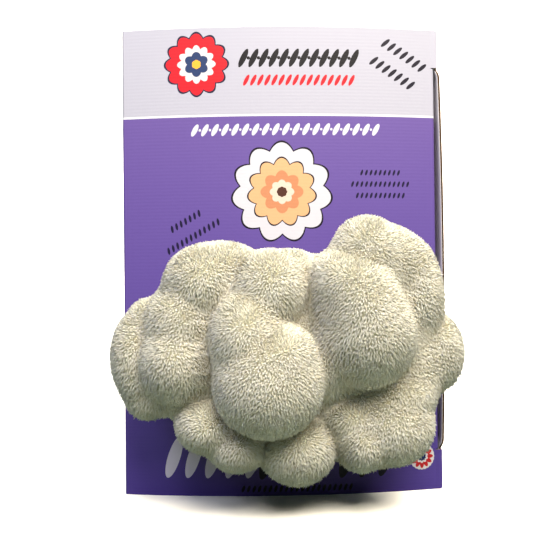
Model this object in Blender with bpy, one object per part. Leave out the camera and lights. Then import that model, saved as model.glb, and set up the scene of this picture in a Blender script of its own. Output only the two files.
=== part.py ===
"""Lion's mane mushroom grow kit: a corrugated mailer box standing on end, a block of
fruiting substrate inside it, and the mushroom that has grown out through its window.

Metres, +Z up. The origin is the middle of the face that the box stands on. The lid,
with the mushroom in front of it, faces -Y, and +X is to the right of the lid.
"""

import math

import bmesh
import bpy
from mathutils import Matrix, Vector

# Box: outer size, and the board that it is folded from
BOX_WIDTH = 0.2095
BOX_HEIGHT = 0.305
BOX_DEPTH = 0.133
BOARD = 0.0016
FOLD_RADIUS = 0.002
FOLD_TAIL = 0.0005
GAP = 0.0003

# The lid is pushed out along its middle, because only its two long sides are held
LID_BULGE = 0.010
LID_STATIONS = 14
# The lid's ends reach over the side wall, and between them its edge is folded in
LID_END_LOW = 0.0260
LID_END_HIGH = 0.0250
LID_EDGE_IN = 0.0024
SLIT = 0.0006
CORNER_RADIUS = 0.0017

# The side wall's tongue stands forward between the lid's ends, level with the lid. It leans out by
# the flare along its whole free edge, and by the bow besides in its middle
TONGUE_FLARE = 0.0013
TONGUE_BOW = 0.0018
TONGUE_STATIONS = 8
TONGUE_NOTCH = 0.0030
TUCK_DEPTH = 0.038
TUCK_TAPER = 0.012
CORNER_FLAP = 0.055
CORNER_FLAP_TAPER = 0.010

# The window torn out of the lid, which the mushroom's neck fills
WINDOW_CENTRE = (0.002, 0.093)
WINDOW_SIZE = (0.098, 0.092)
WINDOW_RADIUS = 0.020
NECK_CLEARANCE = 0.003

# The bagged block of sawdust that the mushroom feeds on
BLOCK_SIZE = (0.196, 0.120, 0.152)
BLOCK_ROUND = 0.012

# Lobes of the fruiting body, to the tips of the coat, in millimetres: how far right of
# the box's middle, forward of its front and above its foot, then the half sizes across,
# front to back and up
LOBES = {
    "core": (-1, 42, 97, 82, 30, 59),
    "core_left": (-53, 44, 98, 42, 28, 46),
    "core_right": (59, 42, 100, 34, 28, 54),
    "front_centre": (-13, 76, 82, 34, 34, 33),
    "front_bump": (-6, 76, 99, 22, 28, 19),
    "front_shoulder": (-26, 71, 107, 23, 30, 26),
    "right_main": (44, 64, 108, 31, 36, 33),
    "right_middle": (40, 63, 123, 27, 36, 30),
    "right_upper": (36, 60, 135, 26, 34, 22),
    "right_crown": (28, 54, 144, 18, 30, 15),
    "upper_middle": (-12, 60, 134, 25, 28, 27),
    "middle_fold": (22, 56, 94, 16, 26, 28),
    "middle_bridge": (-23, 62, 118, 23, 28, 20),
    "upper_left": (-51, 51, 138, 26, 29, 26),
    "top_left": (-37, 46, 147, 24, 25, 19),
    "top_middle": (2, 44, 142, 21, 24, 19),
    "left_bridge": (-63, 53, 116, 24, 28, 24),
    "left_main": (-66, 57, 93, 24, 28, 27),
    "far_left": (-92, 44, 96, 17, 23, 27),
    "far_left_upper": (-86, 40, 115, 13, 20, 17),
    "far_left_waist": (-89, 43, 81, 14, 21, 17),
    "far_left_low": (-84, 41, 69, 16, 20, 15),
    "low_left": (-48, 56, 56, 22, 27, 19),
    "low_left_inner": (-31, 56, 44, 20, 28, 18),
    "low_centre": (4, 54, 41, 26, 29, 24),
    "low_right": (59, 50, 53, 30, 30, 27),
    "low_right_inner": (41, 52, 44, 18, 29, 20),
    "right_fold": (67, 48, 71, 23, 26, 18),
    "low_fold": (36, 50, 58, 21, 26, 16),
    "right_low": (76, 42, 83, 19, 24, 23),
    "far_right": (92, 40, 95, 18, 22, 26),
    "right_saddle": (78, 44, 128, 19, 25, 29),
    "top_right": (47, 49, 153, 25, 30, 28),
    "top_right_outer": (71, 40, 146, 22, 25, 23),
    "top_right_middle": (62, 42, 147, 24, 27, 28),
}
BODY_VOXEL = 0.004
BODY_SMOOTHING = 10
BODY_DETAIL = 0.5

# Plain finishes: a linear colour and a roughness for each kind of piece
FINISHES = {
    "printed_board": ((0.17, 0.09, 0.38), 0.45),
    "inner_board": ((0.74, 0.71, 0.71), 0.85),
    "bagged_sawdust": ((0.42, 0.28, 0.16), 0.60),
    "mushroom_flesh": ((0.66, 0.60, 0.42), 0.90),
}

LEFT = -BOX_WIDTH / 2 - 0.00075
RIGHT = LEFT + BOX_WIDTH
FRONT = -BOX_DEPTH / 2
BACK = BOX_DEPTH / 2
TOP = BOX_HEIGHT
WALL_INSET = BOARD + GAP
MILLIMETRE = 0.001


def material(name, colour, roughness):
    """A plain finish for one kind of piece."""
    made = bpy.data.materials.new(name)
    made.use_nodes = True
    shader = made.node_tree.nodes["Principled BSDF"]
    shader.inputs["Base Color"].default_value = (*colour, 1.0)
    shader.inputs["Roughness"].default_value = roughness
    shader.inputs["Metallic"].default_value = 0.0
    return made


def new_object(name, mesh, finish):
    """A named object at the origin, with its place in its mesh."""
    made = bpy.data.objects.new(name, mesh)
    made.data.materials.append(finish)
    bpy.context.scene.collection.objects.link(made)
    return made


def mesh_of(name, points, faces):
    """A mesh from points and faces, with points at one place made one."""
    bm = bmesh.new()
    verts = [bm.verts.new(point) for point in points]
    for face in faces:
        bm.faces.new([verts[i] for i in face])
    bmesh.ops.remove_doubles(bm, verts=bm.verts, dist=1e-6)
    mesh = bpy.data.meshes.new(name)
    bm.to_mesh(mesh)
    bm.free()
    return mesh


def facing_out(mesh, side=None):
    """Turns all faces of a mesh one way: outwards where it is closed, to the given side where it is open."""
    bm = bmesh.new()
    bm.from_mesh(mesh)
    bmesh.ops.recalc_face_normals(bm, faces=bm.faces)
    if side and sum(face.normal.dot(side) for face in bm.faces) < 0:
        bmesh.ops.reverse_faces(bm, faces=bm.faces)
    bm.to_mesh(mesh)
    bm.free()
    return mesh


def thicken(made):
    """Gives a sheet the board's thickness, inwards from its outer face."""
    board = made.modifiers.new("board", "SOLIDIFY")
    board.thickness = BOARD
    board.offset = -1.0
    board.use_even_offset = True
    return made


def strip(path, spans, place):
    """Quads along a path of 2-D points, for each (low, high) span across it.

    place turns (path point, distance across) into a point in space.
    """
    points, faces = [], []
    for low, high in spans:
        for (start, end) in zip(path, path[1:]):
            first = len(points)
            points += [place(start, low), place(end, low), place(end, high), place(start, high)]
            faces.append((first, first + 1, first + 2, first + 3))
    return points, faces


def joined(*parts):
    """Several lists of points and faces as one."""
    points, faces = [], []
    for more_points, more_faces in parts:
        faces += [tuple(i + len(points) for i in face) for face in more_faces]
        points += more_points
    return points, faces


def upright(point, height):
    """A point of a plan outline, at a height."""
    return Vector((point[0], point[1], height))


def arc(centre, radius, start, end, steps=4):
    """Points on an arc, with angles in degrees."""
    turns = [math.radians(start + (end - start) * i / steps) for i in range(steps + 1)]
    return [(centre[0] + radius * math.cos(t), centre[1] + radius * math.sin(t)) for t in turns]


def lid_front(x):
    """Depth of the lid's outer face: a parabola held at its two long sides."""
    middle = (LEFT + RIGHT) / 2
    share = (x - middle) / (BOX_WIDTH / 2)
    return FRONT - LID_BULGE * (1 - share * share)


FOLD_X = RIGHT - LID_EDGE_IN
FOLD_START = FOLD_X - FOLD_RADIUS
HINGE_Y = lid_front(LEFT + FOLD_RADIUS) + FOLD_RADIUS
TUCK_Y = lid_front(FOLD_START) + FOLD_RADIUS
BACK_FOLD_Y = BACK - FOLD_RADIUS
ROLLED_FRONT = HINGE_Y + FOLD_TAIL + GAP


def lid_end(low, high, round_at_top):
    """The flat end of the lid that reaches over the side wall, with one rounded corner."""
    r = CORNER_RADIUS
    if round_at_top:
        corner = arc((RIGHT - r, high - r), r, 0, 90)
        outline = [(FOLD_START, low), (RIGHT, low), *corner, (FOLD_START, high)]
    else:
        corner = arc((RIGHT - r, low + r), r, -90, 0)
        outline = [(FOLD_START, low), *corner, (RIGHT, high), (FOLD_START, high)]
    points = [Vector((x, lid_front(FOLD_START), z)) for x, z in outline]
    return points, [tuple(range(len(points)))]


def lid_panel(finish):
    """The lid: the hinge fold, the bulging face, two ends and the edge that folds in."""
    hinge = [(LEFT, HINGE_Y + FOLD_TAIL)] + arc((LEFT + FOLD_RADIUS, HINGE_Y), FOLD_RADIUS, 180, 270)
    first, last = LEFT + FOLD_RADIUS, FOLD_START
    steps = [first + (last - first) * i / LID_STATIONS for i in range(1, LID_STATIONS + 1)]
    face = hinge + [(x, lid_front(x)) for x in steps]
    low, high = LID_END_LOW, TOP - LID_END_HIGH
    spans = [(0, low), (low, low + SLIT), (low + SLIT, high - SLIT), (high - SLIT, high), (high, TOP)]
    turned_in = arc((FOLD_START, TUCK_Y), FOLD_RADIUS, 270, 360) + [(FOLD_X, TUCK_Y + FOLD_TAIL)]
    points, faces = joined(
        strip(face, spans, upright),
        strip(turned_in, [(low + SLIT, high - SLIT)], upright),
        lid_end(0, low, False),
        lid_end(high, TOP, True),
    )
    lid = thicken(new_object("lid_panel", mesh_of("lid_panel", points, faces), finish))
    window = lid.modifiers.new("window", "BOOLEAN")
    window.operation = "DIFFERENCE"
    window.solver = "EXACT"
    window.object = window_cutter()
    return lid


def window_outline(size):
    """The window's outline about its centre: a rectangle with round corners."""
    half_x, half_z, r = size[0] / 2, size[1] / 2, WINDOW_RADIUS
    turns = [(1, 1, 0), (-1, 1, 90), (-1, -1, 180), (1, -1, 270)]
    outline = []
    for side_x, side_z, start in turns:
        centre = (side_x * (half_x - r), side_z * (half_z - r))
        outline += arc(centre, r, start, start + 90)
    return [(WINDOW_CENTRE[0] + x, WINDOW_CENTRE[1] + z) for x, z in outline]


def prism(name, outline, near, far):
    """A closed prism: an (x, z) outline carried from one depth to another."""
    count = len(outline)
    points = [Vector((x, near, z)) for x, z in outline] + [Vector((x, far, z)) for x, z in outline]
    sides = [(i, (i + 1) % count, (i + 1) % count + count, i + count) for i in range(count)]
    caps = [tuple(range(count))[::-1], tuple(range(count, 2 * count))]
    return facing_out(mesh_of(name, points, sides + caps))


def guide(name, mesh):
    """An object that only cuts another one."""
    made = bpy.data.objects.new(name, mesh)
    made.hide_render = True
    made.display_type = "WIRE"
    bpy.context.scene.collection.objects.link(made)
    return made


def window_cutter():
    """The block of space that the window takes out of the lid."""
    near, far = FRONT - 2 * LID_BULGE, FRONT + 2 * LID_BULGE
    return guide("window_cutter", prism("window_cutter", window_outline(WINDOW_SIZE), near, far))


def tuck_flap(finish):
    """The flap behind the lid's folded edge, tapered so that it goes in."""
    low, high = LID_END_LOW + 2 * SLIT, TOP - LID_END_HIGH - 2 * SLIT
    near, far = TUCK_Y + FOLD_TAIL + GAP, TUCK_Y + TUCK_DEPTH
    outline = [(near, low), (far, low + TUCK_TAPER), (far, high - TUCK_TAPER), (near, high)]
    points = [Vector((FOLD_X, y, z)) for y, z in outline]
    flap = new_object("tuck_flap", mesh_of("tuck_flap", points, [(0, 1, 2, 3)]), finish)
    return thicken(flap)


def left_wall(finish):
    """The wall that the lid hinges on."""
    path = [(LEFT, BACK_FOLD_Y - FOLD_TAIL - GAP), (LEFT, HINGE_Y + FOLD_TAIL + GAP)]
    points, faces = strip(path, [(WALL_INSET, TOP - WALL_INSET)], upright)
    return thicken(new_object("left_wall", mesh_of("left_wall", points, faces), finish))


def smooth_step(share):
    """0 to 1 with level ends."""
    share = min(max(share, 0.0), 1.0)
    return share * share * (3 - 2 * share)


def flare(y, z):
    """How far the side wall leans out: most in the middle of the tongue's free edge, none at its ends."""
    low, high = LID_END_LOW + SLIT, TOP - LID_END_HIGH - SLIT
    share = (2 * z - low - high) / (high - low)
    along = smooth_step(min(z - low, high - z) / (2 * TONGUE_NOTCH))
    return (TONGUE_FLARE + TONGUE_BOW * (1 - share ** 2)) * along * (BACK - y) / BOX_DEPTH


def right_wall(finish):
    """The wall opposite the hinge, with the tongue that stands level with the lid."""
    low, high = LID_END_LOW + SLIT, TOP - LID_END_HIGH - SLIT
    steps = [TONGUE_NOTCH * i / 2 for i in range(5)]
    span = high - low - 2 * steps[-1]
    middle = [low + steps[-1] + span * i / TONGUE_STATIONS for i in range(1, TONGUE_STATIONS)]
    ends = [low + s for s in steps], [high - s for s in reversed(steps)]
    heights = [WALL_INSET, *ends[0], *middle, *ends[1], TOP - WALL_INSET]
    shoulder = FRONT + WALL_INSET
    depths = [BACK_FOLD_Y - FOLD_TAIL - GAP, BACK / 2, 0.0, FRONT / 2, FRONT * 0.75, shoulder]

    def wall(point, height):
        return Vector((RIGHT + flare(point, height), point, height))

    points, faces = strip(depths, list(zip(heights, heights[1:])), wall)
    tip = lid_front(FOLD_START)
    inner = heights[3:-3]
    tongue = strip([shoulder, tip], list(zip(inner, inner[1:])), wall)
    shoulders = [[(shoulder, heights[1]), (shoulder, heights[2]), (shoulder, heights[3]), (tip, heights[3])]]
    shoulders += [[(tip, heights[-4]), (shoulder, heights[-4]), (shoulder, heights[-3]), (shoulder, heights[-2])]]
    for corners in shoulders:
        corner = [wall(y, z) for y, z in corners], [(3, 2, 1, 0)]
        tongue = joined(tongue, corner)
    points, faces = joined((points, faces), tongue)
    sheet = facing_out(mesh_of("right_wall", points, faces), Vector((1, 0, 0)))
    return thicken(new_object("right_wall", sheet, finish))


def back_panel(finish):
    """The panel that all four walls fold from, with its two upright folds."""
    r = FOLD_RADIUS
    tail_y = BACK_FOLD_Y - FOLD_TAIL
    folds = arc((RIGHT - r, BACK_FOLD_Y), r, 0, 90) + arc((LEFT + r, BACK_FOLD_Y), r, 90, 180)
    path = [(RIGHT, tail_y), *folds, (LEFT, tail_y)]
    points, faces = strip(path, [(0, TOP)], upright)
    return thicken(new_object("back_panel", mesh_of("back_panel", points, faces), finish))


def solid_of_cells(name, xs, ys, zs, filled):
    """The closed skin round the filled cells of a grid of planes."""
    grid = (xs, ys, zs)
    cells = {
        (i, j, k)
        for i in range(len(xs) - 1)
        for j in range(len(ys) - 1)
        for k in range(len(zs) - 1)
        if filled(i, j, k)
    }
    points, faces = [], []
    for cell in sorted(cells):
        for axis in range(3):
            for side in (0, 1):
                beside = list(cell)
                beside[axis] += 2 * side - 1
                if tuple(beside) in cells:
                    continue
                second, third = (axis + 1) % 3, (axis + 2) % 3
                corners = []
                for step_2, step_3 in ((0, 0), (1, 0), (1, 1), (0, 1)):
                    corner = [0.0, 0.0, 0.0]
                    corner[axis] = grid[axis][cell[axis] + side]
                    corner[second] = grid[second][cell[second] + step_2]
                    corner[third] = grid[third][cell[third] + step_3]
                    corners.append(Vector(corner))
                first = len(points)
                points += corners if side else corners[::-1]
                faces.append((first, first + 1, first + 2, first + 3))
    return mesh_of(name, points, faces)


def rolled_wall(name, at_top, finish):
    """An end wall rolled over on itself: outer board, front edge and inner board."""
    by_fold = BACK_FOLD_Y - FOLD_TAIL - GAP
    xs = [LEFT, LEFT + WALL_INSET, RIGHT - WALL_INSET, RIGHT]
    ys = [ROLLED_FRONT, ROLLED_FRONT + BOARD, by_fold, BACK - WALL_INSET]
    zs = [0, BOARD, 2 * WALL_INSET, 2 * WALL_INSET + BOARD]
    if at_top:
        zs = [TOP - z for z in reversed(zs)]

    def filled(i, j, k):
        layer = 2 - k if at_top else k
        between_sides = i == 1
        if layer == 0:
            return between_sides or j < 2
        return between_sides and (layer == 2 or j == 0)

    return new_object(name, solid_of_cells(name, xs, ys, zs, filled), finish)


def corner_flap(name, side, top, finish):
    """A side wall's flap, held between the two boards of a rolled wall."""
    start = LEFT + WALL_INSET if side < 0 else RIGHT - WALL_INSET
    end = start - side * CORNER_FLAP
    near, far = ROLLED_FRONT + WALL_INSET, BACK - 2 * WALL_INSET
    height = TOP - WALL_INSET if top else WALL_INSET + BOARD
    taper = CORNER_FLAP_TAPER
    corners = [(start, near), (end, near + taper), (end, far - taper), (start, far)]
    corners = corners if side > 0 else corners[::-1]
    points = [Vector((x, y, height)) for x, y in corners]
    faces = [(3, 2, 1, 0)]
    flap = new_object(name, mesh_of(name, points, faces), finish)
    return thicken(flap)


def block_front():
    """Depth of the block's front face."""
    return BACK - WALL_INSET - GAP - BLOCK_SIZE[1]


def substrate_block(finish):
    """The block of sawdust in its bag: square, with soft edges."""
    foot = 2 * WALL_INSET + BOARD + GAP
    middle = ((LEFT + RIGHT) / 2, block_front() + BLOCK_SIZE[1] / 2, foot + BLOCK_SIZE[2] / 2)
    bm = bmesh.new()
    place = Matrix.Translation(middle) @ Matrix.Diagonal((*BLOCK_SIZE, 1.0))
    bmesh.ops.create_cube(bm, size=1.0, matrix=place)
    mesh = bpy.data.meshes.new("substrate_block")
    bm.to_mesh(mesh)
    bm.free()
    block = new_object("substrate_block", mesh, finish)
    soft = block.modifiers.new("soft_edges", "BEVEL")
    soft.width = BLOCK_ROUND
    soft.segments = 3
    return block


def fruiting_body(finish):
    """The mushroom: round lobes and a neck, grown together as one skin."""
    bm = bmesh.new()
    for x, forward, z, half_x, half_y, half_z in LOBES.values():
        centre = Vector((x, FRONT / MILLIMETRE - forward, z)) * MILLIMETRE
        halves = Vector((half_x, half_y, half_z)) * MILLIMETRE
        place = Matrix.Translation(centre) @ Matrix.Diagonal((*halves, 1.0))
        bmesh.ops.create_icosphere(bm, subdivisions=4, radius=1.0, matrix=place)
    neck_size = [side - 2 * NECK_CLEARANCE for side in WINDOW_SIZE]
    core_depth = FRONT - LOBES["core"][1] * MILLIMETRE
    bm.from_mesh(prism("neck", window_outline(neck_size), core_depth, block_front() + BLOCK_ROUND))
    mesh = bpy.data.meshes.new("fruiting_body")
    bm.to_mesh(mesh)
    bm.free()
    body = new_object("fruiting_body", mesh, finish)
    skin = body.modifiers.new("one_skin", "REMESH")
    skin.mode = "VOXEL"
    skin.voxel_size = BODY_VOXEL
    soft = body.modifiers.new("soft_creases", "SMOOTH")
    soft.factor = 0.5
    soft.iterations = BODY_SMOOTHING
    fewer = body.modifiers.new("fewer_faces", "DECIMATE")
    fewer.ratio = BODY_DETAIL
    rooted = body.modifiers.new("rooted", "BOOLEAN")
    rooted.operation = "DIFFERENCE"
    rooted.solver = "EXACT"
    rooted.object = root_cutter()
    for polygon in mesh.polygons:
        polygon.use_smooth = True
    return body


def root_cutter():
    """Everything behind the face where the neck meets the block."""
    outline = [(LEFT, 0), (RIGHT, 0), (RIGHT, TOP), (LEFT, TOP)]
    near = block_front() - GAP
    return guide("root_cutter", prism("root_cutter", outline, near, BACK))


def main():
    for leftover in list(bpy.data.objects):
        bpy.data.objects.remove(leftover, do_unlink=True)
    finishes = {name: material(name, *finish) for name, finish in FINISHES.items()}
    printed = finishes["printed_board"]
    inside = finishes["inner_board"]
    lid_panel(printed)
    tuck_flap(printed)
    left_wall(printed)
    right_wall(printed)
    back_panel(printed)
    rolled_wall("bottom_rolled_wall", False, printed)
    rolled_wall("top_rolled_wall", True, printed)
    for side, side_name in ((-1, "left"), (1, "right")):
        corner_flap(f"top_{side_name}_corner_flap", side, True, inside)
        corner_flap(f"bottom_{side_name}_corner_flap", side, False, inside)
    substrate_block(finishes["bagged_sawdust"])
    fruiting_body(finishes["mushroom_flesh"])


main()
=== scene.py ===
# %% [markdown]
# # A lion's mane mushroom growing out of its box
#
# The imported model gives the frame: a corrugated mailer box that stands on one end, a block of sawdust
# inside it, and a mushroom that has pushed out through a window in the lid. This file gives each of
# them its finish: the mushroom gets its coat of spines, the board its flutes and its print, and the
# block its threads and its film. Nothing is moved, because every size comes from the frame.

# %% Load the frame
import math

import bpy
import numpy as np
from mathutils import Matrix, Vector


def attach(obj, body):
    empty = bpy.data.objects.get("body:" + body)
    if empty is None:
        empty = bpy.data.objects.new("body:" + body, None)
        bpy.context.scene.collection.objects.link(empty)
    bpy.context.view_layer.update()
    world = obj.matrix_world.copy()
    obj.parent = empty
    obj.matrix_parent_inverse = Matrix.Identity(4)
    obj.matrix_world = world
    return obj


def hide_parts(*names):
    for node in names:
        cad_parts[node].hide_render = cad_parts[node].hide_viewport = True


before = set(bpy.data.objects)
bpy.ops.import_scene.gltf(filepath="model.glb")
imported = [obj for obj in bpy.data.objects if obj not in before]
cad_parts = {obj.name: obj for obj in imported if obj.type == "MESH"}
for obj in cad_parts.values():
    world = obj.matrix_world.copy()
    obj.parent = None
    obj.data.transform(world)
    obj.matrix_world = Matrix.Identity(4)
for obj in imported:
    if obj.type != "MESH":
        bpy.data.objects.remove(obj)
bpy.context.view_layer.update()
MM = 0.001
DEGREE = math.pi / 180
print("pieces in the frame:", ", ".join(sorted(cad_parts)))

# %% [markdown]
# ## Colours and nodes
#
# Blender computes in linear light, while a colour that is read off a screen is written in sRGB. One
# function turns the hex values of this file to linear. A second one adds a node to a material: inputs
# that are sockets are linked, and all others are set as values. Every finish below is built from it,
# node by node, so that each step of a finish can be read in its place.


# %% Two helpers for materials
def linear(hex_colour):
    """sRGB hex as linear RGBA: c / 12.92 where c is darkest, ((c + 0.055) / 1.055) ^ 2.4 elsewhere."""
    channels = np.array([int(hex_colour[i:i + 2], 16) for i in (1, 3, 5)]) / 255
    curve = ((channels + 0.055) / 1.055) ** 2.4
    return (*np.where(channels <= 0.04045, channels / 12.92, curve).tolist(), 1.0)


def add(tree, kind, settings=None, inputs=None):
    """Adds one node to a tree, with its settings and its inputs, and returns it."""
    made = tree.nodes.new(kind)
    for name, value in (settings or {}).items():
        setattr(made, name, value)
    for name, value in (inputs or {}).items():
        if isinstance(value, bpy.types.NodeSocket):
            tree.links.new(value, made.inputs[name])
        else:
            made.inputs[name].default_value = value
    return made


# A Mix node's sockets for colours, by number, because its sockets for numbers have the same names
RGBA = {"data_type": "RGBA"}
MIX_SHARE, MIX_A, MIX_B, MIX_RESULT = 0, 6, 7, 2


def new_finish(name, values):
    """A material, its node tree and its shader, with the values that are the same all over the surface."""
    finish = bpy.data.materials.new(name)
    finish.use_nodes = True
    shader = finish.node_tree.nodes["Principled BSDF"]
    for socket, value in values.items():
        shader.inputs[socket].default_value = value
    return finish, finish.node_tree, shader


print("white is", linear("#FFFFFF"))

# %% [markdown]
# ## The view
#
# The box's four corners and the bow of its lid fix the camera: half a metre in front of the lid, a
# little to the left, nearly level. A focal length in pixels is the honest form of a measured lens,
# and it becomes millimetres through the width of the sensor.

# %% Camera
FRAME_PIXELS = 533
FOCAL_PIXELS = 755.0
SENSOR_WIDTH = 36.0
CAMERA_PLACE = (-0.0252, -0.5665, 0.1433)
CAMERA_YAW = 1.59 * DEGREE
CAMERA_PITCH = 0.61 * DEGREE
CAMERA_ROLL = -0.60 * DEGREE


def camera_axes(yaw, pitch, roll):
    """Right, up and backward axes of a camera that looks along +Y, turned by yaw, pitch, then roll."""
    ahead = Vector((math.sin(yaw) * math.cos(pitch), math.cos(yaw) * math.cos(pitch), math.sin(pitch)))
    right = ahead.cross(Vector((0, 0, 1))).normalized()
    up = right.cross(ahead)
    turned_right = math.cos(roll) * right + math.sin(roll) * up
    turned_up = math.cos(roll) * up - math.sin(roll) * right
    return turned_right, turned_up, -ahead


lens = bpy.data.cameras.new("photo_lens")
lens.sensor_width = SENSOR_WIDTH
lens.lens = SENSOR_WIDTH * FOCAL_PIXELS / FRAME_PIXELS
camera = bpy.data.objects.new("photo_camera", lens)
axes = Matrix(camera_axes(CAMERA_YAW, CAMERA_PITCH, CAMERA_ROLL)).transposed()
camera.matrix_world = Matrix.Translation(CAMERA_PLACE) @ axes.to_4x4()
bpy.context.scene.collection.objects.link(camera)
bpy.context.scene.camera = camera
print(f"lens {lens.lens:.1f} mm")

# %% [markdown]
# ## Pieces from arrays
#
# A mesh is little more than two arrays: its points, and which of them each face joins. Every shape
# below is worked out as such arrays, with no loop over its points, and foreach_set hands them over.
# A piece may bring a map too, which says where each face lies on a flat picture. No finish here reads
# it. It is for baking the finishes onto a picture, and one that knows how the piece is made keeps the
# print sharper than one that is found for it later.

# %% From arrays to a piece
MAP_NAME = "OFBake"


def grid_faces(rows, columns):
    """Quads of a grid of points that is stored row by row."""
    first = (np.arange(rows - 1)[:, None] * columns + np.arange(columns - 1)[None, :]).reshape(-1, 1)
    return first + np.array([[0, 1, columns + 1, columns]])


def mesh_piece(name, points, faces, finishes, face_finish=None, smooth=True, places=None):
    """An object at the origin from arrays: points (n, 3), faces (m, k) and one finish for each face.

    places are where the corners of all faces lie on the piece's map, (m, k, 2), from 0 to 1 both ways.
    """
    mesh = bpy.data.meshes.new(name)
    mesh.vertices.add(len(points))
    mesh.vertices.foreach_set("co", np.asarray(points, np.float32).ravel())
    mesh.loops.add(faces.size)
    mesh.loops.foreach_set("vertex_index", np.asarray(faces, np.int32).ravel())
    mesh.polygons.add(len(faces))
    mesh.polygons.foreach_set("loop_start", np.arange(0, faces.size, faces.shape[1], dtype=np.int32))
    mesh.polygons.foreach_set("use_smooth", np.full(len(faces), smooth))
    for finish in finishes:
        mesh.materials.append(finish)
    if face_finish is not None:
        mesh.polygons.foreach_set("material_index", np.asarray(face_finish, np.int32))
    mesh.update(calc_edges=True)
    if places is not None:
        mesh.uv_layers.new(name=MAP_NAME).uv.foreach_set("vector", np.asarray(places, np.float32).ravel())
    made = bpy.data.objects.new(name, mesh)
    bpy.context.scene.collection.objects.link(made)
    return made


print("the map for baking is called", MAP_NAME)

# %% [markdown]
# ## The studio
#
# The sweep is one profile carried sideways, a level run, a quarter circle and an upright run. In
# the photograph the ground is pure white, and yet the undersides of the mushroom are dark. White
# paper would light them, so the paper is white for the camera's rays alone, and throws back only
# as much light as a dark greenish grey.

# %% Floor and backdrop
SWEEP_FRONT = -1.2
SWEEP_BACK = 0.9
SWEEP_RADIUS = 0.6
SWEEP_HEIGHT = 1.8
SWEEP_HALF_WIDTH = 2.5
SWEEP_STEPS = 24


def sweep_profile():
    """Depth and height along the sweep: level, then a quarter circle, then upright."""
    turn = np.linspace(0, math.pi / 2, SWEEP_STEPS)
    depth = np.concatenate([[SWEEP_FRONT], SWEEP_BACK - SWEEP_RADIUS * (1 - np.sin(turn)), [SWEEP_BACK]])
    height = np.concatenate([[0], SWEEP_RADIUS * (1 - np.cos(turn)), [SWEEP_HEIGHT]])
    return depth, height


# Uncoated paper scatters nearly all of its light, so it shows no highlight
backdrop, tree, shader = new_finish("matt_studio_paper", {"Roughness": 0.9})
path = add(tree, "ShaderNodeLightPath")
paper = add(tree, "ShaderNodeMix", RGBA, {
    MIX_SHARE: path.outputs["Is Camera Ray"], MIX_A: linear("#444E43"), MIX_B: linear("#F6F6F6"),
})
tree.links.new(paper.outputs[MIX_RESULT], shader.inputs["Base Color"])
depth, height = sweep_profile()
sides = np.array([SWEEP_HALF_WIDTH, -SWEEP_HALF_WIDTH])
points = np.stack(np.broadcast_arrays(sides[None, :], depth[:, None], height[:, None]), -1).reshape(-1, 3)
sweep = mesh_piece("studio_sweep", points, grid_faces(len(depth), 2)[:, ::-1], [backdrop])
print("sweep of", len(depth), "rows")

# %% [markdown]
# ## The light
#
# A product photo of this kind has one broad warm light above the camera, a small cool one to the side,
# and walls all round, which here are the world's light. The sides of the lobes turn away from the lamps
# and take the greenish grey of the surroundings, which is why the world isn't neutral. A third lamp
# brightens the backdrop. Like the paper, the walls are pale for the camera.

# %% Lamps and world
AIM = Vector((0.0, -0.10, 0.13))


def lamp(name, place, size, watts, colour, aim=AIM):
    light = bpy.data.lights.new(name, "AREA")
    light.shape = "SQUARE"
    light.size = size
    light.energy = watts
    light.color = linear(colour)[:3]
    made = bpy.data.objects.new(name, light)
    made.location = place
    made.rotation_euler = (aim - Vector(place)).to_track_quat("-Z", "Y").to_euler()
    bpy.context.scene.collection.objects.link(made)
    return made


lamp("key_softbox", (0.27, -0.80, 1.21), 1.1, 56.0, "#FFF3DC")
lamp("fill_softbox", (-0.80, -0.80, 1.10), 0.6, 9.0, "#F4F2FF")
backdrop_lamp = lamp("backdrop_softbox", (0.0, 0.30, 1.50), 0.8, 32.0, "#FFFFFF", Vector((0.0, 0.9, 0.35)))
paper_only = bpy.data.collections.new("paper_only")
paper_only.objects.link(sweep)
backdrop_lamp.light_linking.receiver_collection = paper_only
world = bpy.data.worlds.new("studio_walls")
world.use_nodes = True
tree = world.node_tree
path = add(tree, "ShaderNodeLightPath")
walls = add(tree, "ShaderNodeMix", RGBA, {
    MIX_SHARE: path.outputs["Is Camera Ray"], MIX_A: linear("#414E43"), MIX_B: linear("#F2F2F2"),
})
tree.links.new(walls.outputs[MIX_RESULT], tree.nodes["Background"].inputs["Color"])
bpy.context.scene.world = world
bpy.context.scene.view_settings.view_transform = "Standard"
print("three lamps and the world")

# %% [markdown]
# ## Corrugated board
#
# The box is folded from fine fluted board: two flat liners with a wavy sheet between them, 1.6 mm thick
# in all, with a wave every 2.2 mm. Its raw edge shows as a row of small holes beside the lid. A picture
# of that edge would smear when seen from another side, so the three papers are built. Each panel is a
# path of the box's outline carried across it, and each paper is a closed slab between two depths
# under the panel's outer face. The middle one's depth is a sine of the place, which makes the flutes.
# On the piece's map the print is unrolled as it was on the flat sheet, and the plain papers share a
# few small squares beside it.

# %% Layers of the board
BOARD = 1.6 * MM
LINER = 0.20 * MM
FLUTE_SHEET = 0.16 * MM
FLUTE_PITCH = 2.2 * MM
FLUTE_SWING = (BOARD - 2 * LINER - FLUTE_SHEET) / 2
# Six steps to a wave are the fewest that still look round at this size
FLUTE_STEP = FLUTE_PITCH / 6
# Which paper a face is, as the number of its finish. Every face inside the flutes has the last one,
# painted dark as painted shade
PRINT, WHITE, KRAFT, IN_FLUTE_SHADE = 0, 1, 2, 3


def path_length(path):
    """How far along a path each of its points is."""
    return np.concatenate([[0], np.cumsum(np.linalg.norm(np.diff(path, axis=0), axis=1))])


def path_inward(path, side):
    """Unit vectors square to a path of (n, 2) points: to its left for side 1, to its right for side -1."""
    ahead = np.gradient(path, axis=0)
    square = side * np.stack([-ahead[:, 1], ahead[:, 0]], 1)
    return square / np.linalg.norm(square, axis=1, keepdims=True)


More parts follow.
